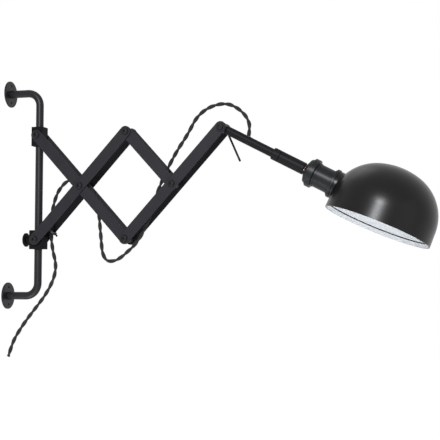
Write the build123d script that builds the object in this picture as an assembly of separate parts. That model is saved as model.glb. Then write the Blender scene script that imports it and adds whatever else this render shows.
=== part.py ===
from build123d import *
import math
import os

# Accordion wall lamp. A round bar stands off the wall on two flanges and carries
# two collars. Four arms, each a pair of flat strips with the cord running between
# them, cross like scissors and end in a tilting head with a side-necked dome shade.
#
# Millimetres. The origin is the back face of the lower wall flange. +X points out of
# the wall, +Y runs along it and +Z is up. The lamp is drawn half unfolded, its rest pose.

# ---- wall bracket ----
BAR_R = 7.5
BAR_X = 65.0                # bar axis from the wall
BAR_BEND_R = 25.0
BAR_HEIGHT = 400.0          # lower flange centre to upper flange centre
FLANGE_R = 26.0
FLANGE_T = 3.0
FLANGE_SCREW_PITCH = 34.0
FLANGE_SCREW_R = 2.5

# ---- scissor linkage ----
HOLE_PITCH = 138.5          # between neighbouring pivots of one arm
END_PITCH = 141.0           # last crossing to the tilting joint
FOLD_ANGLE = 42.3           # of the arms from the vertical, at rest
MID_Z = 212.0               # level of the crossings
STRIP_W = 21.0
STRIP_T = 2.5
STRIP_EDGE = 0.4            # chamfer round each strip
INNER_Y = 14.2              # inner face of the inner pair of strips
OUTER_Y = 17.3              # inner face of the outer pair
WASHER_R = 8.0
WASHER_GAP = 0.05           # running clearance between an inner strip and its washers

# ---- pivots and fasteners ----
SHANK_R = 4.0
PIVOT_HOLE_R = 4.1
HEAD_R = 6.75
HEAD_H = 4.2
SOCKET_AF = 5.0             # hexagon across flats
SOCKET_DEEP = 2.4
NUT_AF = 13.0
NUT_H = 5.0
NUT_COLLAR_R = 5.7
NUT_COLLAR_H = 1.5
SLEEVE_R = 6.5
SLEEVE_BORE_R = 4.2

# ---- collars on the bar ----
COLLAR_BORE_R = 7.6
COLLAR_Y = 12.5             # half width across the strips
COLLAR_EDGE = 1.2
UPPER_COLLAR_X = 24.0
UPPER_COLLAR_Z = 38.0
UPPER_COLLAR_DROP = 2.0     # its middle is this far below its pivots
LOWER_COLLAR_X = 28.5
LOWER_COLLAR_Z = 37.0
STUB_Y = 9.0                # pivot screws end this far from the bar axis
SET_SCREW_R = 3.0
KNOB_R = 13.5
KNOB_T = 5.0
KNOB_HUB_R = 6.5
KNOB_OUT = 28.6             # outer face of the knob from the bar axis

# ---- tilting joint ----
BARREL_R = 10.0
BARREL_Y = 16.2
TILT_HEAD_R = 6.5
TILT_HEAD_H = 4.5
TILT_WASHER_R = 9.0
TILT_WASHER_T = 1.5
REAR_WASHER_T = 1.0
LEVER_HUB_R = 8.5
LEVER_HUB_T = 11.0
LEVER_ROD_R = 2.0
LEVER_REACH = 66.5
LEVER_ANGLE = 24.0          # from straight down, tip away from the wall

# ---- head: stations are measured along its axis from the tilting joint ----
HEAD_DIP = 27.7             # head axis below the horizontal
LAMP_TURN = -5.9            # the shade is turned a little towards -Y
TUBE_R = 8.15
TUBE_WALL = 1.5
TUBE_END = 168.0
CORD_HOLE_X = 53.0
BUSH_R = 4.7
BUSH_BORE_R = 3.7
RING_FROM = 109.0
RING_TO = 123.2
RING_R = 11.5
SWIVEL_FROM = 123.5
SWIVEL_TO = 175.0
SWIVEL_R = 11.4
SWIVEL_BORE_R = 8.25
SWIVEL_END_T = 4.0
GROOVE_X = 146.0
GROOVE_DEEP = 0.8
GROOVE_W = 4.4
NIPPLE_R = 5.0
NIPPLE_BORE_R = 3.4
NIPPLE_TO = 189.0
LEAD_R = 1.1
RED_LEAD_OFF = 3.7          # runs in the slot of the nipple
BLACK_LEAD_OFF = 1.6

# ---- lampholder ----
CAP_FROM = 178.0
CAP_TO = 202.0
CAP_BACK_T = 4.0
CAP_HOLLOW_R = 20.5
BODY_TO = 258.0
BODY_R = 22.0
BODY_THREAD_R = 20.0
BODY_STEP = 230.5
BODY_BORE_R = 18.5
SPIGOT_FROM = 194.0
INSULATOR_FROM = 197.0
INSULATOR_TO = 251.0
INSULATOR_FLOOR = 211.0
SHELL_R = 13.25             # screw shell bore, E27
SHELL_WALL = 0.6
SHELL_FROM = 219.0          # clear of the centre contact's tip
SHELL_TO = 250.0
SHADE_RING_R = 27.3
SHADE_RING_TO = 238.6
INNER_RING_R = 24.0
INNER_RING_TO = 246.0

# ---- shade ----
SHADE_X = 341.9             # rim centre along the head axis
SHADE_DROP = 35.0           # and below it
SHADE_LIFT = 5.7            # rim plane above the head axis
SHADE_T = 1.2
RIM_R = 99.5
KNEE_R = 98.8               # widest radius of the dome's side arc
KNEE_H = 26.1               # and its height
HAUNCH_R = 85.8             # radius of the dome's side arc
CROWN_R = 125.8             # radius of its top arc
HEM_H = 8.0
HEM_T = 1.0
NECK_R = 25.8
NECK_FILLET = 1.2
SEAT_T = 1.2
SEAT_HOLE_R = 20.2

# ---- cord ----
CORD_R = 3.4
TIE_ALONG = 28.5            # cable tie on the rear strip, from the lower collar's pivot
TIE_W = 3.6
TIE_T = 1.1
TIE_GAP = 0.2

FROM_BASE = (Align.CENTER, Align.CENTER, Align.MIN)
FRONT = -1                  # the side of the arms seen in the room
REAR = 1

fold = math.radians(FOLD_ANGLE)
step_out = HOLE_PITCH * math.sin(fold)
half_rise = HOLE_PITCH * math.cos(fold)

# Pivots as (x, z) in the linkage's middle plane.
UPPER = (BAR_X, MID_Z + half_rise)
LOWER = (BAR_X, MID_Z - half_rise)
CROSS_1 = (BAR_X + step_out, MID_Z)
TOP_1 = (BAR_X + 2 * step_out, MID_Z + half_rise)
BOTTOM_1 = (BAR_X + 2 * step_out, MID_Z - half_rise)
CROSS_2 = (BAR_X + 3 * step_out, MID_Z)
TILT = (CROSS_2[0] + END_PITCH * math.sin(fold), MID_Z + END_PITCH * math.cos(fold))

outer_face = OUTER_Y + STRIP_T
inner_face = INNER_Y + STRIP_T

nodes = {}


def outward(point, y, side):
    """Place on a pivot axis whose local +Z points out of the arms on that side."""
    return Pos(point[0], side * y, point[1]) * Rot(-90 * side, 0, 0)


def disc(point, y_in, y_out, side, radius, hole=0.0):
    """Round piece on a pivot axis, from y_in to y_out on one side of the middle plane."""
    place = outward(point, y_in, side)
    height = y_out - y_in
    piece = place * Cylinder(radius, height, align=FROM_BASE)
    if hole:
        piece -= place * Cylinder(hole, height, align=FROM_BASE)
    return piece


def across(point, half_width, radius, hole=0.0):
    """Round piece on a pivot axis, right through between the strips."""
    piece = Pos(point[0], 0, point[1]) * Rot(90, 0, 0) * Cylinder(radius, 2 * half_width)
    if hole:
        piece -= Pos(point[0], 0, point[1]) * Rot(90, 0, 0) * Cylinder(hole, 2 * half_width)
    return piece


def turned(stations):
    """Piece of revolution about the local X axis, from its closed (x, radius) outline."""
    return revolve(make_face(Polyline(*stations, close=True)), Axis.X)


def ring(x_from, x_to, radius, bore, edge=0.0):
    """Ring about the local X axis, with its outer corners chamfered by edge."""
    outline = [(x_from, bore), (x_from, radius - edge), (x_from + edge, radius),
               (x_to - edge, radius), (x_to, radius - edge), (x_to, bore)]
    if not edge:
        outline = [(x_from, bore), (x_from, radius), (x_to, radius), (x_to, bore)]
    return turned(outline)


# ---------------------------------------------------------------- wall bracket

def wall_bar():
    path = FilletPolyline((FLANGE_T, 0, 0), (BAR_X, 0, 0), (BAR_X, 0, BAR_HEIGHT),
                          (FLANGE_T, 0, BAR_HEIGHT), radius=BAR_BEND_R)
    return sweep((path ^ 0) * Circle(BAR_R), path)


def flange(height):
    plate = Rot(0, 90, 0) * Cylinder(FLANGE_R, FLANGE_T, align=FROM_BASE)
    plate = fillet(plate.edges().filter_by(GeomType.CIRCLE).sort_by(Axis.X)[-1], 1.0)
    for side in (-1, 1):
        hole = Rot(0, 90, 0) * Cylinder(FLANGE_SCREW_R, 3 * FLANGE_T)
        plate -= Pos(0, 0, side * FLANGE_SCREW_PITCH / 2) * hole
    return Pos(0, 0, height) * plate


# ---------------------------------------------------------------- strips and fasteners

def strip(start, end, holes, y_in, side):
    """Flat strip with rounded ends; holes are distances from its first pivot."""
    length = math.dist(start, end)
    along = ((end[0] - start[0]) / length, 0, (end[1] - start[1]) / length)
    y_low = min(side * y_in, side * (y_in + STRIP_T))
    flat = Plane(origin=(start[0], y_low, start[1]), x_dir=along, z_dir=(0, 1, 0))
    outline = Pos(length / 2, 0) * SlotCenterToCenter(length, STRIP_W)
    plate = extrude(flat * outline, STRIP_T)
    plate = chamfer(plate.faces().filter_by(Axis.Y).edges(), STRIP_EDGE)
    for reach in holes:
        hole = extrude(flat * (Pos(reach, 0) * Circle(PIVOT_HOLE_R)), STRIP_T)
        plate -= hole
    return plate


def arm(name, start, end, holes, y_in):
    nodes[name + "_front_strip"] = strip(start, end, holes, y_in, FRONT)
    nodes[name + "_rear_strip"] = strip(start, end, holes, y_in, REAR)


def socket_screw(shank_length, head_radius=HEAD_R, head_height=HEAD_H):
    """Domed screw with a hexagon socket: underside of the head at z = 0, shank below."""
    flat_r = 0.5 * head_radius
    outline = Curve() + [
        Polyline((flat_r, head_height), (0, head_height), (0, 0), (head_radius, 0),
                 (head_radius, 0.25 * head_height)),
        ThreePointArc((head_radius, 0.25 * head_height),
                      (0.86 * head_radius, 0.74 * head_height), (flat_r, head_height)),
    ]
    head = revolve(Plane.XZ * make_face(outline.edges()), Axis.Z)
    socket = RegularPolygon(SOCKET_AF / 2, 6, major_radius=False)
    head -= Pos(0, 0, head_height - SOCKET_DEEP) * extrude(socket, SOCKET_DEEP)
    shank = Pos(0, 0, -shank_length) * Cylinder(SHANK_R, shank_length, align=FROM_BASE)
    return head + shank


def lock_nut(point):
    """Hexagon nut with a round locking collar, behind the rear outer strip."""
    nut = extrude(RegularPolygon(NUT_AF / 2, 6, major_radius=False), NUT_H)
    nut = nut + Pos(0, 0, NUT_H) * Cylinder(NUT_COLLAR_R, NUT_COLLAR_H, align=FROM_BASE)
    nut -= Cylinder(SHANK_R, NUT_H + NUT_COLLAR_H, align=FROM_BASE)
    return outward(point, outer_face, REAR) * nut


def through_bolt(point):
    """Pivot bolt from the front outer strip to just past its lock nut."""
    length = 2 * outer_face + NUT_H + NUT_COLLAR_H + 1.0
    return outward(point, outer_face, FRONT) * socket_screw(length)


def crossing(name, points):
    """Bolts, nuts and thin washers of an outer pair of strips, at its two crossings."""
    nodes[name + "_pivot_bolts"] = [through_bolt(point) for point in points]
    nodes[name + "_lock_nuts"] = [lock_nut(point) for point in points]
    nodes[name + "_washers"] = [
        disc(point, inner_face + WASHER_GAP, OUTER_Y, side, WASHER_R, PIVOT_HOLE_R)
        for point in points for side in (FRONT, REAR)]


def spacers(name, points):
    """Sleeves that hold an inner pair of strips apart."""
    nodes[name + "_spacers"] = [across(point, INNER_Y, SLEEVE_R, SLEEVE_BORE_R)
                                for point in points]


# ---------------------------------------------------------------- collars

def collar(point, size_x, size_z, drop):
    """Block on the bar, bored along Z, with a pivot hole on each side."""
    block = Pos(point[0], 0, point[1] - drop) * Box(size_x, 2 * COLLAR_Y, size_z)
    block = fillet(block.edges().filter_by(Axis.Z), COLLAR_EDGE)
    ends = block.faces().sort_by(Axis.Z)
    block = chamfer(ends[0].edges() + ends[-1].edges(), COLLAR_EDGE / 2)
    block -= Pos(point[0], 0, point[1]) * Cylinder(COLLAR_BORE_R, 2 * size_z)
    for side in (FRONT, REAR):
        block -= disc(point, BAR_R, COLLAR_Y, side, SHANK_R)
    return block


def stub_screws(point, head_y):
    """One short pivot screw on each side of a collar."""
    return [outward(point, head_y, side) * socket_screw(head_y - STUB_Y)
            for side in (FRONT, REAR)]


def wall_side(point, x_out, radius, length):
    """Rod on the bar's wall side, from x_out off the bar axis towards the bar."""
    return Pos(point[0] - x_out, 0, point[1]) * Rot(0, 90, 0) * Cylinder(
        radius, length, align=FROM_BASE)


def upper_collar():
    body = collar(UPPER, UPPER_COLLAR_X, UPPER_COLLAR_Z, UPPER_COLLAR_DROP)
    half = UPPER_COLLAR_X / 2
    nodes["upper_collar"] = body - wall_side(UPPER, half, SET_SCREW_R, half - BAR_R)
    screw = wall_side(UPPER, half - 0.5, SET_SCREW_R, half - 0.5 - COLLAR_BORE_R)
    socket = extrude(RegularPolygon(1.5, 6, major_radius=False), SOCKET_DEEP)
    screw -= Pos(UPPER[0] - half + 0.5, 0, UPPER[1]) * Rot(0, 90, 0) * socket
    nodes["collar_set_screw"] = screw
    nodes["upper_pivot_screws"] = stub_screws(UPPER, inner_face + WASHER_GAP)
    nodes["upper_pivot_washers"] = [
        disc(UPPER, COLLAR_Y, INNER_Y - WASHER_GAP, side, WASHER_R, PIVOT_HOLE_R)
        for side in (FRONT, REAR)]


def lower_collar():
    body = collar(LOWER, LOWER_COLLAR_X, LOWER_COLLAR_Z, 0)
    half = LOWER_COLLAR_X / 2
    nodes["lower_collar"] = body - wall_side(LOWER, half, SET_SCREW_R + 0.05, half - BAR_R)
    nodes["lower_pivot_screws"] = stub_screws(LOWER, outer_face + WASHER_GAP)
    nodes["lower_pivot_spacers"] = [
        disc(LOWER, COLLAR_Y, OUTER_Y - WASHER_GAP, side, WASHER_R, PIVOT_HOLE_R)
        for side in (FRONT, REAR)]


def thumb_knob():
    """Clamping screw on the wall side of the lower collar."""
    disc_part = wall_side(LOWER, KNOB_OUT, KNOB_R, KNOB_T)
    disc_part = chamfer(disc_part.edges().filter_by(GeomType.CIRCLE), 1.2)
    hub_from = KNOB_OUT - KNOB_T
    hub_length = hub_from - LOWER_COLLAR_X / 2 - 0.3
    hub = wall_side(LOWER, hub_from, KNOB_HUB_R, hub_length)
    nodes["thumb_knob"] = disc_part + hub - wall_side(LOWER, hub_from, SET_SCREW_R, hub_length)
    nodes["thumb_knob_stud"] = wall_side(LOWER, hub_from, SET_SCREW_R,
                                         hub_from - COLLAR_BORE_R)


# ---------------------------------------------------------------- tilting joint

def tilt_joint():
    """Through bolt, washers and rear clamp lever between the last strips."""
    bolt_face = outer_face + TILT_WASHER_T
    rear_face = outer_face + REAR_WASHER_T
    hub_from = rear_face + 0.1
    hub_to = hub_from + LEVER_HUB_T
    nodes["tilt_bolt"] = outward(TILT, bolt_face, FRONT) * socket_screw(
        bolt_face + hub_to + 1.5, TILT_HEAD_R, TILT_HEAD_H)
    nodes["tilt_washers"] = [
        disc(TILT, outer_face, bolt_face, FRONT, TILT_WASHER_R, PIVOT_HOLE_R),
        disc(TILT, outer_face, rear_face, REAR, TILT_WASHER_R, PIVOT_HOLE_R)]
    nodes["friction_washers"] = [
        disc(TILT, BARREL_Y + WASHER_GAP, OUTER_Y, side, BARREL_R, PIVOT_HOLE_R)
        for side in (FRONT, REAR)]

    hub = disc(TILT, hub_from, hub_to, REAR, LEVER_HUB_R)
    hub = fillet(hub.edges().filter_by(GeomType.CIRCLE).sort_by(Axis.Y)[-1], 1.5)
    hub -= disc(TILT, hub_from, hub_to, REAR, SHANK_R + WASHER_GAP)
    down = Pos(TILT[0], (hub_from + hub_to) / 2, TILT[1]) * Rot(0, 180 - LEVER_ANGLE, 0)
    root = 5.0
    rod = down * Pos(0, 0, root) * Cylinder(LEVER_ROD_R, LEVER_REACH - root, align=FROM_BASE)
    nodes["clamp_nut"] = hub - rod
    tip = rod.edges().filter_by(GeomType.CIRCLE).sort_by(Axis.Z)[0]
    nodes["clamp_lever"] = fillet(tip, 0.8 * LEVER_ROD_R)


# ---------------------------------------------------------------- head

HEAD = Pos(TILT[0], 0, TILT[1]) * Rot(0, HEAD_DIP, 0)
LAMP = HEAD * Rot(LAMP_TURN, 0, 0)


def lead(points):
    path = Polyline(*points)
    return sweep((path ^ 0) * Circle(LEAD_R), path, transition=Transition.RIGHT)


def head():
    """Barrel on the tilt bolt, tube with its cord hole, stop ring, bush and leads."""
    nodes["tilt_knuckle"] = across(TILT, BARREL_Y, BARREL_R, SHANK_R + WASHER_GAP)

    tube = ring(0, TUBE_END, TUBE_R, TUBE_R - TUBE_WALL)
    tube -= ring(GROOVE_X - GROOVE_W / 2, GROOVE_X + GROOVE_W / 2, TUBE_R + 1,
                 TUBE_R - GROOVE_DEEP)
    tube -= Rot(90, 0, 0) * Cylinder(BARREL_R, 4 * BARREL_R)
    tube = tube.solids().sort_by(SortBy.VOLUME)[-1]
    bush_place = Pos(CORD_HOLE_X, 0, TUBE_R - TUBE_WALL - 1.2)
    nodes["head_tube"] = HEAD * (
        tube - bush_place * Cylinder(BUSH_R, 2 * TUBE_R, align=FROM_BASE))

    bush = bush_place * Cylinder(BUSH_R, 3.2, align=FROM_BASE)
    bush -= bush_place * Cylinder(BUSH_BORE_R, 3.2, align=FROM_BASE)
    nodes["cord_bush"] = HEAD * bush

    nodes["stop_ring"] = HEAD * ring(RING_FROM, RING_TO, RING_R, TUBE_R, 0.6)
    nodes["tube_leads"] = [
        HEAD * lead([(CORD_HOLE_X - 1.5, side * 1.6, 8.0), (CORD_HOLE_X + 1.5, side * 1.6, 0),
                     (TUBE_END - 11.0, side * 1.6, 0)])
        for side in (-1, 1)]


def swivel():
    """Sleeve that turns on the tube, its stop screw, and the nipple to the lampholder."""
    end_wall = SWIVEL_TO - SWIVEL_END_T
    edge = 0.8
    sleeve = turned([
        (SWIVEL_FROM, SWIVEL_BORE_R), (SWIVEL_FROM, SWIVEL_R - edge),
        (SWIVEL_FROM + edge, SWIVEL_R), (SWIVEL_TO - edge, SWIVEL_R),
        (SWIVEL_TO, SWIVEL_R - edge), (SWIVEL_TO, NIPPLE_R), (end_wall, NIPPLE_R),
        (end_wall, SWIVEL_BORE_R)])
    stop_r = 1.9
    stop_place = Pos(GROOVE_X, 0, 0) * Rot(-90, 0, 0)
    nodes["swivel_sleeve"] = LAMP * (
        sleeve - stop_place * Cylinder(stop_r, 2 * SWIVEL_R, align=FROM_BASE))
    tip = TUBE_R - GROOVE_DEEP + 0.2
    stop = stop_place * Pos(0, 0, tip) * Cylinder(stop_r, SWIVEL_R - 0.3 - tip, align=FROM_BASE)
    nodes["swivel_stop_screw"] = LAMP * stop

    nipple = ring(TUBE_END + 0.4, NIPPLE_TO, NIPPLE_R, NIPPLE_BORE_R)
    slot = Box(2 * NIPPLE_TO, 2 * NIPPLE_R, 2 * LEAD_R + 0.4)
    nodes["nipple"] = LAMP * (nipple - Pos(0, -NIPPLE_BORE_R / 2 - NIPPLE_R, 0) * slot)
    offsets = (-RED_LEAD_OFF, BLACK_LEAD_OFF)
    nodes["lamp_leads"] = [
        LAMP * lead([(TUBE_END - 10.0, offset, 0), (SPIGOT_FROM - 2.0, offset, 0)])
        for offset in offsets]


# ---------------------------------------------------------------- lampholder

def lampholder():
    """Cap, body and threaded shade rings, and the socket's inner pieces."""
    hollow_from = CAP_FROM + CAP_BACK_T
    nodes["lampholder_cap"] = LAMP * turned([
        (CAP_FROM, NIPPLE_R), (CAP_FROM, 13.4), (CAP_FROM + 0.6, 14.0),
        (CAP_FROM + 3.4, 21.4), (CAP_FROM + 6.2, 23.4), (CAP_FROM + 9.0, 23.4),
        (CAP_FROM + 9.5, 26.4), (CAP_FROM + 10.3, 27.2), (CAP_FROM + 19.2, 27.2),
        (CAP_FROM + 20.0, 26.4), (CAP_FROM + 20.3, 22.8), (CAP_TO, 22.8),
        (CAP_TO, CAP_HOLLOW_R), (hollow_from + 1.5, CAP_HOLLOW_R),
        (hollow_from, CAP_HOLLOW_R - 1.5), (hollow_from, NIPPLE_R)])
    spigot_r = CAP_HOLLOW_R - 0.05
    nodes["lampholder_body"] = LAMP * turned([
        (SPIGOT_FROM, BODY_BORE_R), (SPIGOT_FROM, spigot_r), (CAP_TO, spigot_r),
        (CAP_TO, BODY_R), (BODY_STEP, BODY_R), (BODY_STEP, BODY_THREAD_R),
        (BODY_TO - 1.0, BODY_THREAD_R), (BODY_TO, BODY_THREAD_R - 1.0),
        (BODY_TO, BODY_BORE_R - 3.0), (INSULATOR_TO + 0.5, BODY_BORE_R - 3.0),
        (INSULATOR_TO + 0.5, BODY_BORE_R)])

    outer = turned([
        (BODY_STEP, BODY_THREAD_R), (BODY_STEP, 24.6), (BODY_STEP + 2.0, 24.6),
        (BODY_STEP + 2.0, SHADE_RING_R - 0.5), (BODY_STEP + 2.5, SHADE_RING_R),
        (SHADE_RING_TO - 0.5, SHADE_RING_R), (SHADE_RING_TO, SHADE_RING_R - 0.5),
        (SHADE_RING_TO, BODY_THREAD_R)])
    nodes["shade_ring_outer"] = LAMP * outer
    seat_to = SHADE_RING_TO + SEAT_T
    nodes["shade_ring_inner"] = LAMP * ring(seat_to, INNER_RING_TO, INNER_RING_R,
                                            BODY_THREAD_R, 0.5)

    fit = 0.1
    insulator = turned([
        (INSULATOR_FROM, 0), (INSULATOR_FROM, BODY_BORE_R - fit),
        (INSULATOR_TO, BODY_BORE_R - fit), (INSULATOR_TO, SHELL_R + SHELL_WALL + fit),
        (INSULATOR_FLOOR, SHELL_R + SHELL_WALL + fit), (INSULATOR_FLOOR, 0)])
    terminals = [(-10.0, 0.0), (10.0, 0.0)]
    screw_hole_r = 1.6
    screws = []
    for y, z in terminals:
        place = Pos(INSULATOR_FROM, y, z) * Rot(0, -90, 0)
        insulator -= place * Pos(0, 0, -8.0) * Cylinder(screw_hole_r, 8.0, align=FROM_BASE)
        head_part = place * Cylinder(3.0, 2.0, align=FROM_BASE)
        slot = place * Pos(0, 0, 2.0) * Box(0.9, 7.0, 1.6)
        shank = place * Pos(0, 0, -8.0) * Cylinder(screw_hole_r, 8.0, align=FROM_BASE)
        screws.append(LAMP * (head_part + shank - slot))
    nodes["insulator"] = LAMP * insulator
    nodes["terminal_screws"] = screws

    nodes["screw_shell"] = LAMP * ring(SHELL_FROM, SHELL_TO, SHELL_R + SHELL_WALL, SHELL_R)

    tongue = Polyline((INSULATOR_FLOOR, -6.0), (INSULATOR_FLOOR, 7.0),
                      (INSULATOR_FLOOR + 0.8, 7.0), (INSULATOR_FLOOR + 0.8, -3.5),
                      (INSULATOR_FLOOR + 6.0, 3.5), (INSULATOR_FLOOR + 6.8, 3.1),
                      (INSULATOR_FLOOR + 0.8, -6.0), close=True)
    nodes["centre_contact"] = LAMP * extrude(make_face(tongue), 3.0, both=True)


# ---------------------------------------------------------------- shade

def dome(inset, bottom=0.0):
    """Solid under the dome's outer surface moved inwards by inset; rim plane at z = 0.

    A straight wall rises from the rim and meets the side arc tangentially at the knee.
    """
    haunch_x = KNEE_R - HAUNCH_R
    rise = CROWN_R - HAUNCH_R
    crown_z = KNEE_H - math.sqrt(rise ** 2 - haunch_x ** 2)
    join = math.degrees(math.atan2(KNEE_H - crown_z, haunch_x))
    top = crown_z + CROWN_R - inset
    rim_r = RIM_R - inset
    haunch_r = HAUNCH_R - inset
    rim_away = math.hypot(rim_r - haunch_x, KNEE_H)
    knee = math.acos(haunch_r / rim_away) - math.atan2(KNEE_H, rim_r - haunch_x)
    knee_at = (haunch_x + haunch_r * math.cos(knee), KNEE_H + haunch_r * math.sin(knee))
    foot = [(rim_r, bottom), (rim_r, 0)] if bottom else [(rim_r, 0)]
    outline = Curve() + [
        Polyline((0, top), (0, bottom), *foot, knee_at),
        CenterArc((haunch_x, KNEE_H), haunch_r, math.degrees(knee), join - math.degrees(knee)),
        CenterArc((0, crown_z), CROWN_R - inset, join, 90 - join),
    ]
    return Rot(0, 0, 90) * revolve(Plane.XZ * make_face(outline.edges()), Axis.Z)


def shade():
    """Spun dome with a neck on its side, a flat seat in the neck and a hem at the rim."""
    to_rim = Pos(SHADE_X, 0, -SHADE_DROP) * Rot(0, -SHADE_LIFT, 0)
    neck_from = SHADE_RING_TO
    deep = SHADE_X - KNEE_R - neck_from + 2 * NECK_R
    neck_place = Pos(neck_from, 0, 0) * Rot(0, 90, 0)
    body = to_rim * dome(0) + neck_place * Cylinder(NECK_R, deep, align=FROM_BASE)
    corner = body.edges().filter_by(lambda edge: edge.geom_type not in (
        GeomType.CIRCLE, GeomType.LINE))
    body = fillet(corner, NECK_FILLET)
    body -= to_rim * dome(SHADE_T, -1.0)
    seat = neck_place * Pos(0, 0, SEAT_T)
    body -= seat * Cylinder(NECK_R - SHADE_T, deep, align=FROM_BASE)
    body -= neck_place * Cylinder(SEAT_HOLE_R, deep, align=FROM_BASE)

    hem_r = RIM_R - SHADE_T
    hem = revolve(Plane.XZ * make_face(Polyline(
        (hem_r - HEM_T, 0), (hem_r + 0.4, 0), (hem_r + 0.4 - 0.3, HEM_H),
        (hem_r - HEM_T, HEM_H), close=True)), Axis.Z)
    nodes["shade"] = LAMP * (body + to_rim * hem)


# ---------------------------------------------------------------- cord

# Chosen by hand, from the tube's hole over the arms, down between the strips, up and
# over the first crossing's sleeve, down past the lower collar and the wall bar.
CORD_ROUTES = {
    "cord_upper": [
        (490.4, 0, 301.4), (491, 0, 322), (477, 0, 347), (449, 0, 364), (415, 0, 359),
        (388, 0, 340), (371, 0, 307), (345, 0, 270), (313, 0, 207), (301.5, 0, 170.5)],
    "cord_swag": [
        (301.5, 0, 170.5), (290, 0, 134), (268, 0, 100), (251, 0, 85), (233.2, 0, 73),
        (216.2, 0, 73.9), (203.2, 0, 84.9), (198, 0, 108), (194, 0, 138), (191, 0, 168),
        (180, 0, 204), (158, 0, 229), (127, 0, 228.5), (106, 0, 210.5),
        (100.75, 0.8, 198.25)],
    "cord_back": [
        (100.75, 0.8, 198.25), (95.5, 1.6, 186), (90.5, 4.5, 165), (87, 8, 145),
        (85.5, 10.8, 127), (87.3, 12.3, 109)],
    "cord_tail": [
        (87.3, 12.3, 109), (89.4, 14.05, 88), (97, 12.6, 65), (96.5, 10.5, 43), (88, 8.5, 20),
        (73, 7, -4), (56, 5.5, -25), (39, 4, -47), (24, 3, -69), (12, 1.5, -92),
        (6, 0, -117)],
}


def bend_radii(points):
    """At each inner point, 0.45 of the shorter run over the tangent of half the turn."""
    radii = []
    for before, here, after in zip(points, points[1:], points[2:]):
        run_in = Vector(*here) - Vector(*before)
        run_out = Vector(*after) - Vector(*here)
        half_turn = math.radians(run_in.get_angle(run_out)) / 2
        radii.append(0.45 * min(run_in.length, run_out.length) / math.tan(half_turn))
    return radii


def cord():
    for name, points in CORD_ROUTES.items():
        radii = bend_radii(points)
        path = FilletPolyline(*points, radius=radii)
        tube = sweep((path ^ 0) * Circle(CORD_R), path)
        expected = math.pi * CORD_R ** 2 * path.length
        print(name, "length", round(path.length, 1), "radii",
              [round(radius, 1) for radius in radii],
              "volume over section times length", round(tube.volume / expected, 5))
        nodes[name] = tube


def cable_tie():
    """Band round the rear strip of arm B and the cord, with its head and cut-off tail."""
    middle = (LOWER[0] + TIE_ALONG * math.sin(fold), LOWER[1] + TIE_ALONG * math.cos(fold))
    section = Plane(origin=(middle[0], 0, middle[1]),
                    x_dir=(math.cos(fold), 0, -math.sin(fold)),
                    z_dir=(math.sin(fold), 0, math.cos(fold)))
    half = STRIP_W / 2
    wrapped = make_face(Polyline(
        (-half, outer_face), (half, outer_face), (half, OUTER_Y - 0.4), (10.2, 9.2), (7.6, 6.3),
        (-2.6, 6.3), (-half, OUTER_Y - 1.4), close=True))
    inside = offset(wrapped, TIE_GAP)
    head_at = Pos(half + 2.4, 14.6)
    head_outline = head_at * Rectangle(4.0, 5.0)
    tail = head_at * Pos(4.4, -1.4) * Rot(0, 0, -22) * Rectangle(7.5, TIE_T)
    outline = offset(wrapped, TIE_GAP + TIE_T) + head_outline + tail - inside
    tie = extrude(section * outline, TIE_W / 2, both=True)
    tie += extrude(section * (head_outline - inside), 0.75 * TIE_W, both=True)
    nodes["cable_tie"] = tie


# ---------------------------------------------------------------- whole lamp

nodes["wall_bar"] = wall_bar()
nodes["lower_flange"] = flange(0)
nodes["upper_flange"] = flange(BAR_HEIGHT)

arm("arm_a", UPPER, BOTTOM_1, (0, HOLE_PITCH, 2 * HOLE_PITCH), INNER_Y)
arm("arm_b", LOWER, TOP_1, (0, HOLE_PITCH, 2 * HOLE_PITCH), OUTER_Y)
arm("arm_c", TOP_1, CROSS_2, (0, HOLE_PITCH), INNER_Y)
arm("arm_d", BOTTOM_1, TILT, (0, HOLE_PITCH, HOLE_PITCH + END_PITCH), OUTER_Y)
crossing("arm_b", (CROSS_1, TOP_1))
crossing("arm_d", (BOTTOM_1, CROSS_2))
spacers("arm_a", (CROSS_1, BOTTOM_1))
spacers("arm_c", (TOP_1, CROSS_2))

upper_collar()
lower_collar()
thumb_knob()
tilt_joint()
head()
swivel()
lampholder()
shade()
cord()
cable_tie()

os.makedirs("parts", exist_ok=True)
for name, piece in nodes.items():
    solids = piece if isinstance(piece, list) else [piece]
    if len(solids) == 1:
        export_step(solids[0], "parts/" + name + ".step")
    else:
        export_step(Compound(solids), "parts/" + name + ".step")
print(len(nodes), "nodes written")
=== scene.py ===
# %% [markdown]
# Accordion wall lamp, dressed for the camera.
# The lamp is a scissor of flat steel strips on a wall bar, a tilting head, a lampholder
# and a dome shade, all black, with a twisted textile cord running between the strips.
# The rigid pieces arrive as a finished frame, already at their real size and place, so this
# lesson is about what a frame can't hold: the camera, the light, the finishes and the cord.
# We load the frame first. Nothing that we add may grow past it.

# %% Load the frame
import bpy
import math
import numpy as np
from mathutils import Matrix, Vector


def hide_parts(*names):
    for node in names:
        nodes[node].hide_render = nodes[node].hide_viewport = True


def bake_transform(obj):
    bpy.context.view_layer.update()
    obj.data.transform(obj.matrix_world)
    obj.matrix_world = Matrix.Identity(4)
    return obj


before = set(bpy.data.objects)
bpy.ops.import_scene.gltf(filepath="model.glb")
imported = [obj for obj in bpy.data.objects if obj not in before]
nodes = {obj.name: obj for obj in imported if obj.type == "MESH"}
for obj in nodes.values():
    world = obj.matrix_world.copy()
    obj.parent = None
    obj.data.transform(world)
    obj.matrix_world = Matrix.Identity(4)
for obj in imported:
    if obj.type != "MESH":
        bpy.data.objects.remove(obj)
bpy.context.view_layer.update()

scene = bpy.context.scene

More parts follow.
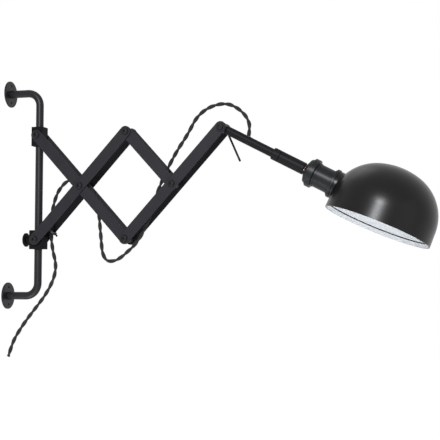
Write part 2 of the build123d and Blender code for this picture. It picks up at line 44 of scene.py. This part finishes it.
# %% [markdown]
# The camera stands where the photograph was taken from: almost level with the lamp,
# slightly below its middle and to the right of the arm's plane. The focal length came
# from fitting the straight bar and the seven pivots, so it is a value here and not a guess
# by eye. A long lens keeps the two wall flanges nearly the same shape.

# %% Camera
PHOTO_SIDE = 440                    # pixels
FOCAL_PX = 1006.15                  # focal length, in the photograph's pixels
SENSOR = 36.0                       # millimetres
AZIMUTH = math.radians(15.25)
ELEVATION = math.radians(-3.35)
ROLL = math.radians(0.12)
AIM = Vector((0.4343, 0.0, 0.1436))
DISTANCE = 1.8791                   # from the point that it aims at

towards = Vector((math.sin(AZIMUTH) * math.cos(ELEVATION),
                  -math.cos(AZIMUTH) * math.cos(ELEVATION), math.sin(ELEVATION)))
level = Vector((math.cos(AZIMUTH), math.sin(AZIMUTH), 0.0))
upright = level.cross(-towards)
right = math.cos(ROLL) * level + math.sin(ROLL) * upright
up = -math.sin(ROLL) * level + math.cos(ROLL) * upright

lens_data = bpy.data.cameras.new("camera")
lens_data.sensor_width = SENSOR
lens_data.lens = FOCAL_PX / PHOTO_SIDE * SENSOR
lens_data.clip_start = 0.05
camera = bpy.data.objects.new("camera", lens_data)
scene.collection.objects.link(camera)
axes = Matrix((right, up, towards)).transposed().to_4x4()
camera.matrix_world = Matrix.Translation(AIM + DISTANCE * towards) @ axes
scene.camera = camera
print("lens", round(lens_data.lens, 2), "mm at", [round(v, 3) for v in camera.location])

# %% [markdown]
# The cord is two textile-covered cores twisted round each other. It is limp, so it falls
# in soft curves: out of a hole in the head tube, over the last strips, down between them,
# round a low loop, over the sleeve of the first crossing and down past the lower collar to
# its cut end. One route point at each bend is enough, because a smooth spline joins them.
# On its way the cord passes from the head to the fourth arm, the first arm, the second arm
# and the bottom collar. So the route is cut into four stretches that meet end to end, each
# running between two bodies.

# %% Cord routes
STRETCHES = {
    "cord_upper": [
        (0.4888, 0, 0.2965), (0.4911, 0, 0.3102), (0.4905, 0, 0.3265), (0.477, 0, 0.347),
        (0.449, 0, 0.364), (0.415, 0, 0.359), (0.388, 0, 0.340), (0.371, 0, 0.307),
        (0.345, 0, 0.270), (0.313, 0, 0.207), (0.3015, 0, 0.1705)],
    "cord_swag": [
        (0.3015, 0, 0.1705), (0.290, 0, 0.134), (0.268, 0, 0.100), (0.251, 0, 0.085),
        (0.2310, 0, 0.0690), (0.2095, 0, 0.0660), (0.1995, 0, 0.0820), (0.197, 0, 0.108),
        (0.194, 0, 0.138), (0.191, 0, 0.168), (0.180, 0, 0.204), (0.158, 0.001, 0.229),
        (0.1262, 0.006, 0.2285), (0.1034, 0.0115, 0.2105), (0.0980, 0.0116, 0.19825)],
    "cord_back": [
        (0.0980, 0.0116, 0.19825), (0.0928, 0.0119, 0.186), (0.0885, 0.0121, 0.165),
        (0.0872, 0.0121, 0.145), (0.0868, 0.0121, 0.127), (0.0873, 0.0123, 0.109)],
    "cord_tail": [
        (0.0873, 0.0123, 0.109), (0.0894, 0.01405, 0.088), (0.097, 0.0128, 0.065),
        (0.0961, 0.0122, 0.043), (0.0870, 0.0122, 0.020), (0.0716, 0.0122, -0.004),
        (0.0543, 0.0120, -0.025), (0.0373, 0.0100, -0.047), (0.0232, 0.0060, -0.069),
        (0.0126, -0.0010, -0.092), (0.0082, -0.0085, -0.1185)],
}
print("route points", {name: len(points) for name, points in STRETCHES.items()})

# %% [markdown]
# A limp cord has no corners, so each route is a NURBS spline, which passes near its points
# and never kinks. We give it no thickness and read points from its line, and put
# them a fixed step apart, because the twist that comes next has to turn evenly.

# %% Smooth lines
STEP = 0.0012


def spline_points(name, points):
    """Points along the smooth route, in metres, read from a spline with no thickness."""
    curve = bpy.data.curves.new(name + "_route", "CURVE")
    curve.dimensions = "3D"
    spline = curve.splines.new("NURBS")
    spline.points.add(len(points) - 1)
    for place, point in zip(spline.points, points):
        place.co = (*point, 1.0)
    spline.order_u = 3
    spline.use_endpoint_u = True
    spline.resolution_u = 16
    holder = bpy.data.objects.new(name + "_route", curve)
    scene.collection.objects.link(holder)
    bpy.context.view_layer.update()
    mesh = bpy.data.meshes.new_from_object(holder)
    line = np.array([vertex.co for vertex in mesh.vertices])
    bpy.data.objects.remove(holder)
    bpy.data.meshes.remove(mesh)
    return line


def distances(line):
    """How far along the line each of its points is."""
    runs = np.linalg.norm(np.diff(line, axis=0), axis=1)
    return np.concatenate([[0.0], np.cumsum(runs)])


def even(line, step):
    """The same line with its points a fixed step apart, and the distance at each."""
    far = distances(line)
    count = max(2, int(round(far[-1] / step)) + 1)
    at = np.linspace(0.0, far[-1], count)
    return np.stack([np.interp(at, far, line[:, k]) for k in range(3)], axis=1), at


routes = {name: spline_points(name, points) for name, points in STRETCHES.items()}
for name, line in routes.items():
    print(name, "length", round(float(distances(line)[-1]), 4))

# %% [markdown]
# Each core is a round tube along its own line. A tube needs a frame of two directions that
# doesn't spin by itself, so each step turns the last frame by the least rotation that
# follows the line. Beside its faces, the tube keeps how far round and how far along each
# corner is, and the braid of the finish is drawn on those numbers.

# %% Tubes
CORE_SIDES = 12


def carried(line, first):
    """Tangent and one side direction at each point, carried along without spin."""
    tangents = np.gradient(line, axis=0)
    tangents /= np.linalg.norm(tangents, axis=1)[:, None]
    side = np.array(first, float)
    sides = []
    for tangent in tangents:
        side = side - tangent * side.dot(tangent)
        side /= np.linalg.norm(side)
        sides.append(side)
    return tangents, np.array(sides)


def tube(centres, radius, first):
    """Vertices, faces and (round, along) positions of a capped tube through the centres."""
    tangents, out = carried(centres, first)
    over = np.cross(tangents, out)
    far = distances(centres)
    sides = CORE_SIDES
    angles = np.linspace(0, 2 * math.pi, sides, endpoint=False)
    circle = (np.cos(angles)[None, :, None] * out[:, None, :]
              + np.sin(angles)[None, :, None] * over[:, None, :])
    vertices = (centres[:, None, :] + circle * radius).reshape(-1, 3)
    faces = []
    places = []
    for i in range(len(centres) - 1):
        for j in range(sides):
            k = (j + 1) % sides
            faces.append((i * sides + j, i * sides + k, (i + 1) * sides + k, (i + 1) * sides + j))
            places.append(((j / sides, far[i]), ((j + 1) / sides, far[i]),
                           ((j + 1) / sides, far[i + 1]), (j / sides, far[i + 1])))
    last = (len(centres) - 1) * sides
    faces.append(tuple(range(sides - 1, -1, -1)))
    places.append(tuple((j / sides, far[0]) for j in range(sides - 1, -1, -1)))
    faces.append(tuple(range(last, last + sides)))
    places.append(tuple((j / sides, far[-1]) for j in range(sides)))
    return vertices, faces, places


print("a tube has", CORE_SIDES, "sides and a ring each", 1000 * STEP, "mm")

# %% [markdown]
# The two cores of one stretch are one thing in the hand, so they become one object. Its
# round and along numbers go into a UV map, where a material can find them.

# %% One mesh from parts
def mesh_piece(name, parts, material):
    """One object from several (vertices, faces, positions) parts, shaded smooth."""
    vertices = []
    faces = []
    places = []
    for part_vertices, part_faces, part_places in parts:
        start = len(vertices)
        vertices.extend(map(tuple, part_vertices))
        faces.extend(tuple(start + index for index in face) for face in part_faces)
        places.extend(part_places)
    mesh = bpy.data.meshes.new(name)
    mesh.from_pydata(vertices, [], faces)
    layer = mesh.uv_layers.new(name="round_along")
    flat = [value for face in places for corner in face for value in corner]
    layer.data.foreach_set("uv", flat)
    mesh.polygons.foreach_set("use_smooth", [True] * len(mesh.polygons))
    mesh.materials.append(material)
    mesh.validate()
    piece = bpy.data.objects.new(name, mesh)
    scene.collection.objects.link(piece)
    return piece


print("meshes so far", len(bpy.data.meshes))

# %% [markdown]
# The pair twists like a rope: both cores wind about the route, half a turn apart. The
# twist is our own angle on top of the carried frame. It runs on from one stretch to the
# next, so that the joins don't show.

# %% Twist
CORE_R = 0.0022
CORE_OFF = 0.0016                   # the soft cores press into each other
TWIST_PITCH = 0.038                 # one full turn of the pair


def twisted(line, first, phase, spread=None):
    """Two cores wound about a line; also the side direction and angle that it ends with."""
    tangents, out = carried(line, first)
    over = np.cross(tangents, out)
    far = distances(line)
    turn = phase + 2 * math.pi * far / TWIST_PITCH
    offset = np.full(len(line), CORE_OFF) if spread is None else spread(far)
    parts = []
    for half in (0.0, math.pi):
        swing = (np.cos(turn + half)[:, None] * out + np.sin(turn + half)[:, None] * over)
        parts.append(tube(line + swing * offset[:, None], CORE_R, out[0]))
    return parts, out[-1], turn[-1]


print("width over both cores", 2000 * (CORE_R + CORE_OFF), "mm")

# %% [markdown]
# Every finish on the hard parts is a pattern worked out from their own coordinates, so it
# sticks to the metal when a joint moves and needs no picture. Several finishes share one
# effect, a fine uneven skin, so that effect will be a node group with its own inputs. The
# group hands out a colour, a roughness and a normal, and each material keeps its own
# Principled shader. First come the few helpers that keep such node trees short.

# %% Node helpers
def link(tree, start, end):
    """Joins an output socket to an input socket."""
    tree.links.new(start, end)


def node(tree, kind, **settings):
    """A new node of a kind, with its settings."""
    made = tree.nodes.new(kind)
    for name, value in settings.items():
        setattr(made, name, value)
    return made


def maths(tree, operation, *values):
    """A Math node with numbers or sockets as its inputs; returns its output."""
    made = node(tree, "ShaderNodeMath", operation=operation)
    for place, value in enumerate(values):
        if isinstance(value, (int, float)):
            made.inputs[place].default_value = value
        else:
            link(tree, value, made.inputs[place])
    return made.outputs[0]


def mixed(tree, factor, first, second):
    """Colour mix; first and second are colours or sockets."""
    made = node(tree, "ShaderNodeMix", data_type="RGBA")
    link(tree, factor, made.inputs[0])
    for place, value in ((6, first), (7, second)):
        if isinstance(value, tuple):
            made.inputs[place].default_value = value
        else:
            link(tree, value, made.inputs[place])
    return made.outputs[2]


def new_material(name):
    """A material with nodes, its node tree and its Principled shader."""
    material = bpy.data.materials.new(name)
    material.use_nodes = True
    return material, material.node_tree, material.node_tree.nodes["Principled BSDF"]


def group(name, inputs, outputs):
    """An empty node group with named sockets, and its input and output nodes."""
    tree = bpy.data.node_groups.new(name, "ShaderNodeTree")
    for socket, kind, default in inputs:
        made = tree.interface.new_socket(name=socket, in_out="INPUT", socket_type=kind)
        made.default_value = default
    for socket, kind in outputs:
        tree.interface.new_socket(name=socket, in_out="OUTPUT", socket_type=kind)
    return tree, node(tree, "NodeGroupInput"), node(tree, "NodeGroupOutput")


print("helpers ready, node groups so far", len(bpy.data.node_groups))

# %% [markdown]
# The steel of this lamp is powder coated: a dry, slightly pebbled black that is a little
# glossier in some places than in others. A picture could show that, but noise does too,
# at any distance. One broad noise moves the tone and the gloss, and one fine noise makes
# the pebbles.

# %% Coat group
FLOAT = "NodeSocketFloat"
COLOR = "NodeSocketColor"
VECTOR = "NodeSocketVector"
MOTTLE_SCALE = 38.0
PEBBLE_DEPTH = 0.0002


def build_coat():
    """Baked powder: broad mottle in tone and gloss, fine grain in the normal."""
    tree, given, out = group(
        "powder_coat",
        [("Colour", COLOR, (0.03, 0.03, 0.03, 1)), ("Light Colour", COLOR, (0.05, 0.05, 0.05, 1)),
         ("Grain Size", FLOAT, 0.0006), ("Grain Height", FLOAT, 0.2),
         ("Gloss Low", FLOAT, 0.4), ("Gloss High", FLOAT, 0.55)],
        [("Colour", COLOR), ("Roughness", FLOAT), ("Normal", VECTOR)])
    where = node(tree, "ShaderNodeTexCoord").outputs["Object"]
    broad = node(tree, "ShaderNodeTexNoise")
    broad.inputs["Scale"].default_value = MOTTLE_SCALE
    broad.inputs["Detail"].default_value = 3.0
    link(tree, where, broad.inputs["Vector"])
    grain = node(tree, "ShaderNodeTexNoise")
    grain.inputs["Detail"].default_value = 2.0
    link(tree, where, grain.inputs["Vector"])
    link(tree, maths(tree, "DIVIDE", 1.0, given.outputs["Grain Size"]), grain.inputs["Scale"])
    tone = mixed(tree, broad.outputs["Fac"], given.outputs["Colour"],
                 given.outputs["Light Colour"])
    span = maths(tree, "SUBTRACT", given.outputs["Gloss High"], given.outputs["Gloss Low"])
    both = maths(tree, "ADD", broad.outputs["Fac"], grain.outputs["Fac"])
    middle = maths(tree, "MULTIPLY", both, 0.5)
    rough = maths(tree, "MULTIPLY_ADD", middle, span, given.outputs["Gloss Low"])
    bump = node(tree, "ShaderNodeBump")
    bump.inputs["Distance"].default_value = PEBBLE_DEPTH
    link(tree, given.outputs["Grain Height"], bump.inputs["Strength"])
    link(tree, grain.outputs["Fac"], bump.inputs["Height"])
    link(tree, tone, out.inputs["Colour"])
    link(tree, rough, out.inputs["Roughness"])
    link(tree, bump.outputs["Normal"], out.inputs["Normal"])
    return tree


coat_group = build_coat()
print("coat group sockets", [item.name for item in coat_group.interface.items_tree])

# %% [markdown]
# Each finish places that group with its own tone, gloss and pebbles. The strips, the bar,
# the collars, the head and the lampholder were coated or blacked on their own and show
# slightly different blacks, so each has its own material. Those tones are partly painted
# light and shade: the strips, whose faces turn to the key panel, get the lightest black,
# and the collars the darkest. The specular level stays low, because a black part with much
# of it turns grey in a white room. Parts that are bare inside the lamp get zinc, brass or
# porcelain.

# %% Plain finishes
def skin_node(tree, colour, light, size, height, gloss):
    """The coat group, placed in a material with that material's values."""
    skin = node(tree, "ShaderNodeGroup", node_tree=coat_group)
    skin.inputs["Colour"].default_value = (*colour, 1)
    skin.inputs["Light Colour"].default_value = (*light, 1)
    skin.inputs["Grain Size"].default_value = size
    skin.inputs["Grain Height"].default_value = height
    skin.inputs["Gloss Low"].default_value = gloss[0]
    skin.inputs["Gloss High"].default_value = gloss[1]
    return skin


def coated(name, colour, light, size=0.0006, height=0.2, gloss=(0.4, 0.55), metal=0.0,
           specular=0.5):
    """A material that wears the coat group with its own values."""
    material, tree, shader = new_material(name)
    skin = skin_node(tree, colour, light, size, height, gloss)
    link(tree, skin.outputs["Colour"], shader.inputs["Base Color"])
    link(tree, skin.outputs["Roughness"], shader.inputs["Roughness"])
    link(tree, skin.outputs["Normal"], shader.inputs["Normal"])
    shader.inputs["Metallic"].default_value = metal
    shader.inputs["Specular IOR Level"].default_value = specular
    return material


# partly painted light and shade: the lightest black on the strips, the darkest on the collars
arm_coat = coated("arm_coat", (0.0085, 0.008, 0.0105), (0.013, 0.0125, 0.0155),
                  gloss=(0.46, 0.58), specular=0.13)
bar_coat = coated("bar_coat", (0.006, 0.006, 0.007), (0.009, 0.009, 0.0105), gloss=(0.34, 0.46),
                  specular=0.18)
collar_coat = coated("collar_coat", (0.004, 0.004, 0.0048), (0.006, 0.006, 0.007),
                     gloss=(0.46, 0.58), specular=0.04)
head_coat = coated("head_coat", (0.005, 0.005, 0.006), (0.008, 0.008, 0.009),
                   gloss=(0.4, 0.52), specular=0.07)
holder_coat = coated("holder_coat", (0.006, 0.0063, 0.0075), (0.010, 0.0105, 0.012),
                     gloss=(0.32, 0.42), specular=0.16)
screw_finish = coated("black_screw", (0.006, 0.006, 0.0068), (0.010, 0.010, 0.011), 0.0009, 0.1,
                      (0.4, 0.5), specular=0.12)
zinc = coated("zinc", (0.42, 0.43, 0.45), (0.55, 0.56, 0.57), 0.0015, 0.12, (0.28, 0.42), 1.0)
brass = coated("brass", (0.62, 0.43, 0.17), (0.75, 0.56, 0.25), 0.0012, 0.1, (0.24, 0.36), 1.0)
porcelain = coated("insulator", (0.82, 0.79, 0.72), (0.88, 0.86, 0.80), 0.002, 0.05,
                   (0.12, 0.2))
rubber = coated("bush", (0.012, 0.012, 0.012), (0.02, 0.02, 0.02), 0.0005, 0.3, (0.6, 0.75))
nylon = coated("tie", (0.012, 0.012, 0.013), (0.02, 0.02, 0.022), 0.0008, 0.15, (0.4, 0.5))
red_lead = coated("lead", (0.42, 0.03, 0.02), (0.5, 0.05, 0.03), 0.001, 0.08, (0.3, 0.4))
print("materials", sorted(material.name for material in bpy.data.materials))

# %% [markdown]
# The shade's finish needs to know where the shade is. The pivots lie on a zigzag, the
# tilting joint is its last point, and from there the head points down by its tilt and the
# lamp is turned a little on its own axis. The solid shade was placed by the same values,
# so they are safer here than numbers read off the mesh.

# %% Where the shade is
FOLD_ANGLE = math.radians(42.3)     # of the strips from the vertical
HOLE_PITCH = 0.1385                 # between neighbouring pivots of one strip
END_PITCH = 0.141                   # last crossing to the tilting joint
BAR_X = 0.065
MID_Z = 0.212                       # level of the crossings
HEAD_TILT = math.radians(27.7)
LAMP_TURN = math.radians(-5.9)
SHADE_LIFT = math.radians(5.7)      # rim plane above the head's axis
SHADE_X = 0.3419                    # rim's middle along the head's axis
SHADE_DROP = 0.0350                 # and below it

step_out = HOLE_PITCH * math.sin(FOLD_ANGLE)
tilt_joint = Vector((BAR_X + 3 * step_out + END_PITCH * math.sin(FOLD_ANGLE), 0,
                     MID_Z + END_PITCH * math.cos(FOLD_ANGLE)))
head_turn = Matrix.Rotation(HEAD_TILT, 3, "Y") @ Matrix.Rotation(LAMP_TURN, 3, "X")
rim_turn = head_turn @ Matrix.Rotation(-SHADE_LIFT, 3, "Y")
rim_centre = tilt_joint + head_turn @ Vector((SHADE_X, 0, -SHADE_DROP))
rim_up = rim_turn @ Vector((0, 0, 1))
neck_axis = head_turn @ Vector((1, 0, 0))
print("rim at", [round(value, 4) for value in rim_centre],
      "facing up along", [round(value, 3) for value in rim_up])

# %% [markdown]
# The shade is one spun shell, black outside and white inside. The side that a point is
# on shows in its own normal: outside, the normal points away from the dome's middle, and
# inside it points to it. The neck is black all over, so everything behind the dome's wall
# on the lampholder's side counts as outside too. A thin dark line inside, just above the
# hem, is painted shade: the shadow in the crease where the hem meets the shell.

# %% Shade finish
DOME_MIDDLE_H = 0.012               # above the rim
NECK_TO = 0.2405                    # the neck ends here, along the head's axis
HEM_H = 0.008
# The dark line above the hem is painted shade, for the shadow in the crease there.
SHADOW_LINE_ABOVE = 0.0006                 # from the hem's top to the middle of the painted shadow line
SHADOW_LINE_HALF = 0.0011
dome_middle = rim_centre + DOME_MIDDLE_H * rim_up


def along(tree, place, direction):
    """How far a point lies along a direction."""
    made = node(tree, "ShaderNodeVectorMath", operation="DOT_PRODUCT")
    link(tree, place.outputs["Object"], made.inputs[0])
    made.inputs[1].default_value = direction
    return made.outputs["Value"]


def shade_finish():
    """Black outside and on the neck, white inside, with a painted shadow line above the hem."""
    material, tree, shader = new_material("shade_coat")
    place = node(tree, "ShaderNodeTexCoord")
    away = node(tree, "ShaderNodeVectorMath", operation="SUBTRACT")
    link(tree, place.outputs["Object"], away.inputs[0])
    away.inputs[1].default_value = dome_middle
    facing = node(tree, "ShaderNodeVectorMath", operation="DOT_PRODUCT")
    link(tree, away.outputs[0], facing.inputs[0])
    link(tree, place.outputs["Normal"], facing.inputs[1])
    outer = maths(tree, "GREATER_THAN", facing.outputs["Value"], 0.0)
    behind = maths(tree, "LESS_THAN", along(tree, place, neck_axis),
                   tilt_joint.dot(neck_axis) + NECK_TO)
    # painted shade: a thin dark line where the crease above the hem lies in shadow
    above_shadow_line = maths(tree, "SUBTRACT", along(tree, place, rim_up),
                       rim_centre.dot(rim_up) + HEM_H + SHADOW_LINE_ABOVE)
    shadow_line = maths(tree, "LESS_THAN", maths(tree, "ABSOLUTE", above_shadow_line), SHADOW_LINE_HALF)
    # black paint outside and on the neck, plus the painted shadow line above the hem
    black = maths(tree, "MAXIMUM", maths(tree, "MAXIMUM", outer, behind), shadow_line)
    dark = skin_node(tree, (0.0022, 0.002, 0.0022), (0.0038, 0.0034, 0.0036),
                     0.0006, 0.06, (0.29, 0.33))
    white = skin_node(tree, (0.80, 0.82, 0.84), (0.86, 0.875, 0.89),
                      0.0006, 0.08, (0.34, 0.42))
    link(tree, mixed(tree, black, white.outputs["Colour"], dark.outputs["Colour"]),
         shader.inputs["Base Color"])
    span = maths(tree, "SUBTRACT", dark.outputs["Roughness"], white.outputs["Roughness"])
    link(tree, maths(tree, "MULTIPLY_ADD", black, span, white.outputs["Roughness"]),
         shader.inputs["Roughness"])
    link(tree, dark.outputs["Normal"], shader.inputs["Normal"])
    shader.inputs["Specular IOR Level"].default_value = 0.2
    return material


shade_coat = shade_finish()
print(shade_coat.name, "has", len(shade_coat.node_tree.nodes), "nodes")

# %% [markdown]
# Textile braid is two families of yarn that cross on the slant, over and under in turn.
# On the tube we stored how far round and how far along each point lies. Sloping stripes
# of those two numbers are the yarns, and a chequer of the same numbers says which family
# is on top. The colour follows the yarns' height and is darker down in the grooves between
# them: that darkening is painted shade.

# %% Braid finish
def wave(tree, value, times):
    """Sine of a value times a number."""
    return maths(tree, "SINE", maths(tree, "MULTIPLY", value, times))


def build_braid():
    """Two slanting families of yarn that take turns on top."""
    tree, given, out = group(
        "textile_braid",
        [("Yarns Round", FLOAT, 10.0), ("Yarns Per Metre", FLOAT, 900.0),
         ("Groove Shade", COLOR, (0.01, 0.01, 0.01, 1)), ("Light", COLOR, (0.04, 0.04, 0.04, 1))],
        [("Colour", COLOR), ("Height", FLOAT)])
    cut = node(tree, "ShaderNodeSeparateXYZ")
    link(tree, node(tree, "ShaderNodeTexCoord").outputs["UV"], cut.inputs[0])
    yarns_round = maths(tree, "MULTIPLY", cut.outputs["X"], given.outputs["Yarns Round"])
    yarns_along = maths(tree, "MULTIPLY", cut.outputs["Y"], given.outputs["Yarns Per Metre"])
    ribs = []
    for operation in ("ADD", "SUBTRACT"):
        slant = maths(tree, operation, yarns_round, yarns_along)
        ribs.append(maths(tree, "ABSOLUTE", wave(tree, slant, math.pi)))
    chequer = maths(tree, "MULTIPLY", wave(tree, yarns_round, 2 * math.pi),
                    wave(tree, yarns_along, 2 * math.pi))
    on_top = maths(tree, "GREATER_THAN", chequer, 0.0)
    span = maths(tree, "SUBTRACT", ribs[1], ribs[0])
    height = maths(tree, "MULTIPLY_ADD", on_top, span, ribs[0])
    link(tree, height, out.inputs["Height"])
    # painted shade: the colour darkens with the yarns' height down into the grooves
    link(tree, mixed(tree, height, given.outputs["Groove Shade"], given.outputs["Light"]),
         out.inputs["Colour"])
    return tree


def cord_finish():
    """Matt black textile with the braid's relief, and painted shade in the grooves between yarns.
    """
    material, tree, shader = new_material("cord")
    braid = node(tree, "ShaderNodeGroup", node_tree=build_braid())
    # painted shade: the darker colour is for the grooves between yarns
    braid.inputs["Groove Shade"].default_value = (0.006, 0.006, 0.0065, 1)
    braid.inputs["Light"].default_value = (0.018, 0.0175, 0.0185, 1)
    bump = node(tree, "ShaderNodeBump")
    bump.inputs["Strength"].default_value = 0.6
    bump.inputs["Distance"].default_value = 0.0003
    link(tree, braid.outputs["Height"], bump.inputs["Height"])
    link(tree, braid.outputs["Colour"], shader.inputs["Base Color"])
    link(tree, bump.outputs["Normal"], shader.inputs["Normal"])
    shader.inputs["Roughness"].default_value = 0.75
    shader.inputs["Specular IOR Level"].default_value = 0.2
    shader.inputs["Sheen Weight"].default_value = 0.06
    shader.inputs["Sheen Roughness"].default_value = 0.5
    return material


cord_coat = cord_finish()
print(cord_coat.name, "has", len(cord_coat.node_tree.nodes), "nodes")

# %% [markdown]
# Now the cord itself. The cores are a hair looser in the tube's hole and close to a tight
# pair within a few centimetres. Each stretch hides its plain solid and takes its place. The
# table names the two bodies and two places between which each stretch would bend, but this
# script doesn't use them.

# %% Cord pieces
PARTED = 0.0017                     # core offset in the tube's hole
CLOSE_BY = 0.022                    # the pair is tight from here on


def parting(far):
    """Offset of each core from the route, wider where the pair leaves the hole."""
    close = np.clip(far / CLOSE_BY, 0.0, 1.0)
    return PARTED + (CORE_OFF - PARTED) * close


CORD_BENDS = {
    "cord_upper": ("head", "arm_d", (0.4895, 0, 0.33), (0.420, 0, 0.33)),
    "cord_swag": ("arm_d", "arm_a", (0.3015, 0, 0.1), (0.250, 0, 0.1)),
    "cord_back": ("arm_a", "arm_b", (0.09, 0.004, 0.198), (0.09, 0.004, 0.150)),
    "cord_tail": ("arm_b", "bottom_collar", (0.09, 0.013, 0.109), (0.09, 0.013, 0.068)),
}
side = np.array((0.0, 1.0, 0.0))
angle = 0.6                         # of the twist where the cord leaves the tube
for name, bend in CORD_BENDS.items():
    line, far = even(routes[name], STEP)
    cores, side, angle = twisted(line, side, angle, parting if name == "cord_upper" else None)
    piece = mesh_piece(name + "_twist", cores, cord_coat)
    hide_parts(name)
    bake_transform(piece)
    print(piece.name, "length", round(float(far[-1]), 4), "faces", len(piece.data.polygons))

# %% [markdown]
# The rigid pieces keep the meshes that came with the frame, because their shapes are
# already right, and only their finish is new. One list that reads like a parts table
# gives each piece its finish, so a change of finish is a change of one word.

# %% Finish every node
FINISHES = {
    bar_coat: ["wall_bar", "lower_flange", "upper_flange"],
    arm_coat: [arm + side_name + "_strip" for arm in ("arm_a", "arm_b", "arm_c", "arm_d")
               for side_name in ("_front", "_rear")],
    collar_coat: ["upper_collar", "lower_collar", "thumb_knob"],
    head_coat: ["tilt_knuckle", "head_tube", "stop_ring", "swivel_sleeve", "clamp_nut",
                "clamp_lever"],
    holder_coat: ["lampholder_cap", "lampholder_body", "shade_ring_outer",
                  "shade_ring_inner"],
    shade_coat: ["shade"],
    screw_finish: ["arm_b_pivot_bolts", "arm_b_lock_nuts", "arm_d_pivot_bolts",
                   "arm_d_lock_nuts", "upper_pivot_screws", "lower_pivot_screws",
                   "lower_pivot_spacers", "tilt_bolt", "tilt_washers", "arm_a_spacers",
                   "arm_c_spacers", "collar_set_screw", "swivel_stop_screw"],
    zinc: ["arm_b_washers", "arm_d_washers", "upper_pivot_washers", "nipple",
           "thumb_knob_stud"],
    nylon: ["friction_washers", "cable_tie"],
    rubber: ["cord_bush"],
    red_lead: ["tube_leads", "lamp_leads"],
    porcelain: ["insulator"],
    brass: ["screw_shell", "centre_contact", "terminal_screws"],
}
finished = set()
for material, names in FINISHES.items():
    for name in names:
        for slot in nodes[name].material_slots:
            slot.material = material
        finished.add(name)
print("still plain:", sorted(set(nodes) - finished - set(STRETCHES)))

# %% [markdown]
# The photograph is a product shot on pure white. A white room would also light the lamp
# from all sides and wash it out. So the floor glows only for the rays that see it
# directly or in a reflection, and its own pale colour still takes the lamp's shadow. The
# lamp hangs well above it, so that the shadow falls out of the picture.

# %% Floor
FLOOR_Z = -1.6
FLOOR_HALF = 9.0
FLOOR_AHEAD = 0.8                   # further out from the wall than behind it
FLOOR_GLOW = 0.74                   # with the light on it, this comes near white


def background_rays(tree):
    """1 for the rays that see the white background: camera, glossy and transmission rays."""
    path = node(tree, "ShaderNodeLightPath").outputs
    seen = maths(tree, "MAXIMUM", path["Is Camera Ray"], path["Is Glossy Ray"])
    return maths(tree, "MAXIMUM", seen, path["Is Transmission Ray"])


def floor_finish():
    """Pale floor with a faint unevenness."""
    material, tree, shader = new_material("pale_floor")
    noise = node(tree, "ShaderNodeTexNoise")
    noise.inputs["Scale"].default_value = 3.0
    link(tree, mixed(tree, noise.outputs["Fac"], (0.86, 0.86, 0.86, 1),
                     (0.8944, 0.8944, 0.8944, 1)), shader.inputs["Base Color"])
    shader.inputs["Roughness"].default_value = 0.9
    shader.inputs["Emission Color"].default_value = (1, 1, 1, 1)
    link(tree, maths(tree, "MULTIPLY", background_rays(tree), FLOOR_GLOW),
         shader.inputs["Emission Strength"])
    return material


low = -FLOOR_HALF
high = FLOOR_HALF
ahead = FLOOR_HALF + FLOOR_AHEAD
floor_mesh = bpy.data.meshes.new("floor")
floor_mesh.from_pydata([(low, low, FLOOR_Z), (ahead, low, FLOOR_Z), (ahead, high, FLOOR_Z),
                        (low, high, FLOOR_Z)], [], [(0, 1, 2, 3)])
floor = bpy.data.objects.new("floor", floor_mesh)
scene.collection.objects.link(floor)
floor_mesh.materials.append(floor_finish())
print("floor at", FLOOR_Z, "m, size", [round(value, 2) for value in floor.dimensions])

# %% [markdown]
# The sky round the room is white for the camera and for reflections, and a plain dim
# grey for the light that falls on the lamp. One world can do both: a mix of two
# backgrounds that is chosen by the kind of ray.

# %% World
PLAIN_LEVEL = 0.32

world = bpy.data.worlds.new("studio")
scene.world = world
world.use_nodes = True
tree = world.node_tree
plain = tree.nodes["Background"]
plain.inputs["Color"].default_value = (0.9, 0.93, 1.0, 1)
plain.inputs["Strength"].default_value = PLAIN_LEVEL
white = node(tree, "ShaderNodeBackground")
white.inputs["Color"].default_value = (1, 1, 1, 1)
white.inputs["Strength"].default_value = 1.0
choose = node(tree, "ShaderNodeMixShader")
link(tree, background_rays(tree), choose.inputs[0])
link(tree, plain.outputs[0], choose.inputs[1])
link(tree, white.outputs[0], choose.inputs[2])
link(tree, choose.outputs[0], tree.nodes["World Output"].inputs["Surface"])
print("world", world.name, "plain level", PLAIN_LEVEL)

# %% [markdown]
# The bright spot on the dome comes from one strong soft panel a little to the left of the
# camera. A weak one on the right lights the sides that face into the room, one from below
# shows the white inside of the shade, and one from above and behind keeps the back
# readable.

# %% Lamps
def panel(name, azimuth, elevation, distance, side_length, power, colour=(1, 1, 1)):
    """A soft square light that faces the lamp from a compass direction, in degrees."""
    data = bpy.data.lights.new(name, "AREA")
    data.shape = "RECTANGLE"
    data.size = side_length
    data.size_y = side_length
    data.energy = power
    data.color = colour
    lamp = bpy.data.objects.new(name, data)
    scene.collection.objects.link(lamp)
    across = math.radians(azimuth)
    above = math.radians(elevation)
    out = Vector((math.sin(across) * math.cos(above), -math.cos(across) * math.cos(above),
                  math.sin(above)))
    lamp.location = AIM + distance * out
    lamp.rotation_euler = out.to_track_quat("Z", "Y").to_euler()


panel("key", 5, 20, 4.5, 0.9, 230, (0.96, 0.98, 1.0))
panel("fill", 62, 4, 2.8, 1.8, 5, (1.0, 0.97, 0.94))
panel("under", -20, -58, 1.6, 1.0, 17.5)
panel("behind", 215, 62, 3.2, 1.6, 8)
scene.view_settings.view_transform = "Standard"
